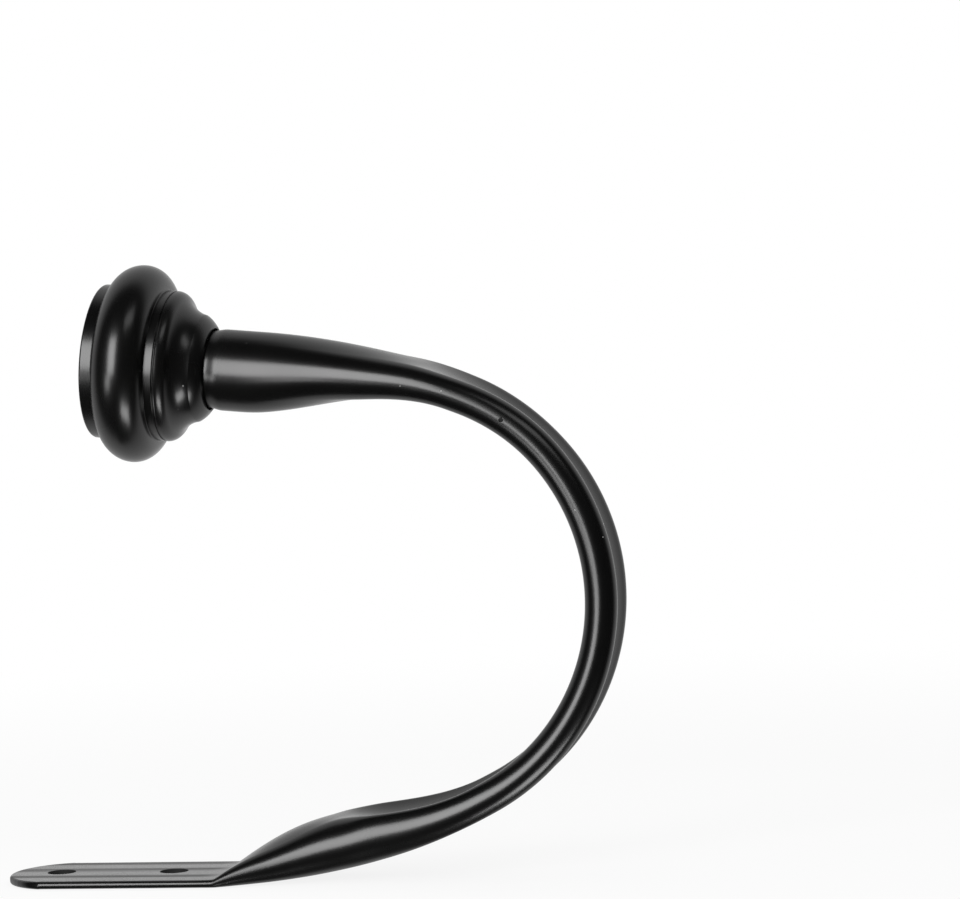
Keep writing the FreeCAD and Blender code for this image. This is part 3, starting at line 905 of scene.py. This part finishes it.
# Studio: pale floor, white behind the part and dim on the camera's side, four soft boxes
studio = {
    "floorSize": 8.0,
    "floorDrop": 0.0002,
    "floorColour": (0.9, 0.9, 0.9, 1.0),
    "floorGlow": 0.86,          # share of plain white in the floor by the part; it is all white further off
    "floorNear": 0.15,
    "floorFar": 0.60,
    "plainLevel": 0.6,          # light from all round on what isn't mirrored
    "dimSide": 0.03,            # what the coat mirrors on the camera's side
    "whiteSide": 0.64,          # and on the far side
    "dimEdge": (0.0, 0.45),     # cosines from straight ahead where dim turns to white
    "whiteEdge": (0.90, 1.0),   # and where white grows to its full level
    "boxes": {                  # directions in degrees, sizes in metres, glow as radiance
        "keyBox": {"azimuth": -21.0, "elevation": 10.5, "distance": 1.1,
                   "width": 0.52, "height": 0.78, "glow": 7.2},
        "lowBox": {"azimuth": -37.0, "elevation": -16.0, "distance": 1.1,
                   "width": 0.34, "height": 0.26, "glow": 4.5},
        "upperBox": {"azimuth": 46.0, "elevation": 46.0, "distance": 1.1,
                     "width": 0.60, "height": 0.32, "glow": 1.5},
        "underBox": {"azimuth": 48.0, "elevation": -57.0, "distance": 1.1,
                     "width": 0.60, "height": 0.32, "glow": 6.5},
    },
}


def makeFloor(look):
    mesh = bpy.data.meshes.new("floor")
    half = look["floorSize"] / 2
    corners = [(-half, -half), (half, -half), (half, half), (-half, half)]
    mesh.from_pydata([(x, y, -look["floorDrop"]) for x, y in corners], [], [(0, 1, 2, 3)])
    material, wire = newMaterial("paleFloor")
    seen = wire.node("ShaderNodeLightPath")
    shown = wire.math("MAXIMUM", seen.out("Is Camera Ray"), seen.out("Is Glossy Ray"))
    shown = wire.math("MAXIMUM", shown, seen.out("Is Transmission Ray"))
    place = wire.node("ShaderNodeTexCoord", None, None, "Object")
    away = wire.node("ShaderNodeVectorMath", {"operation": "DISTANCE"},
                     {0: place, 1: (photoView["target"][0], 0.0, 0.0)}, "Value")
    plain = 1 - away.fade(look["floorNear"], look["floorFar"]) * (1 - look["floorGlow"])
    pale = wire.node("ShaderNodeBsdfDiffuse", None, {"Color": look["floorColour"]})
    glow = wire.node("ShaderNodeEmission", None, {"Color": (1, 1, 1, 1), "Strength": 1.0})
    mixed = wire.node("ShaderNodeMixShader", None, {0: shown * plain, 1: pale, 2: glow})
    wire.node("ShaderNodeOutputMaterial", None, {"Surface": mixed})
    mesh.materials.append(material)
    floor = addPiece("floor", mesh)
    floor.visible_glossy = False            # the light from under the floor reaches the coat
    floor.visible_shadow = False


def makeWorld(look):
    world = bpy.data.worlds.new("studio")
    bpy.context.scene.world = world
    world.use_nodes = True
    world.cycles.sampling_method = "NONE"
    tree = world.node_tree
    tree.nodes.clear()
    wire = Wire(tree)
    seen = wire.node("ShaderNodeLightPath")
    direction = wire.node("ShaderNodeTexCoord", None, None, "Generated")
    ahead = -cameraAxes(photoView)[3]
    facing = wire.node("ShaderNodeVectorMath", {"operation": "DOT_PRODUCT"},
                       {0: direction, 1: tuple(ahead)}, "Value")
    reflected = look["whiteSide"] - facing.fade(*look["dimEdge"]) * (look["whiteSide"] - look["dimSide"])
    reflected = reflected + (1 - facing.fade(*look["whiteEdge"])) * (1 - look["whiteSide"])
    mirrored = wire.math("MAXIMUM", seen.out("Is Glossy Ray"), seen.out("Is Transmission Ray"))
    around = mirrored * reflected + (1 - mirrored) * look["plainLevel"]
    strength = wire.math("MAXIMUM", seen.out("Is Camera Ray"), around)
    glow = wire.node("ShaderNodeBackground", None, {"Color": (1, 1, 1, 1), "Strength": strength})
    wire.node("ShaderNodeOutputWorld", None, {"Surface": glow})


def makeBoxes(look):
    aim = Vector(photoView["target"])
    for name, box in look["boxes"].items():
        back = towards(box["azimuth"], box["elevation"])
        data = bpy.data.lights.new(name, "AREA")
        data.shape = "RECTANGLE"
        data.size, data.size_y = box["width"], box["height"]
        data.energy = box["glow"] * 4 * box["width"] * box["height"]    # power for this radiance
        lamp = bpy.data.objects.new(name, data)
        bpy.context.scene.collection.objects.link(lamp)
        lamp.location = aim + back * box["distance"]
        lamp.rotation_euler = back.to_track_quat("Z", "Y").to_euler()


makeFloor(studio)
makeWorld(studio)
makeBoxes(studio)
bpy.context.scene.view_settings.view_transform = "Standard"
print("studio lit")
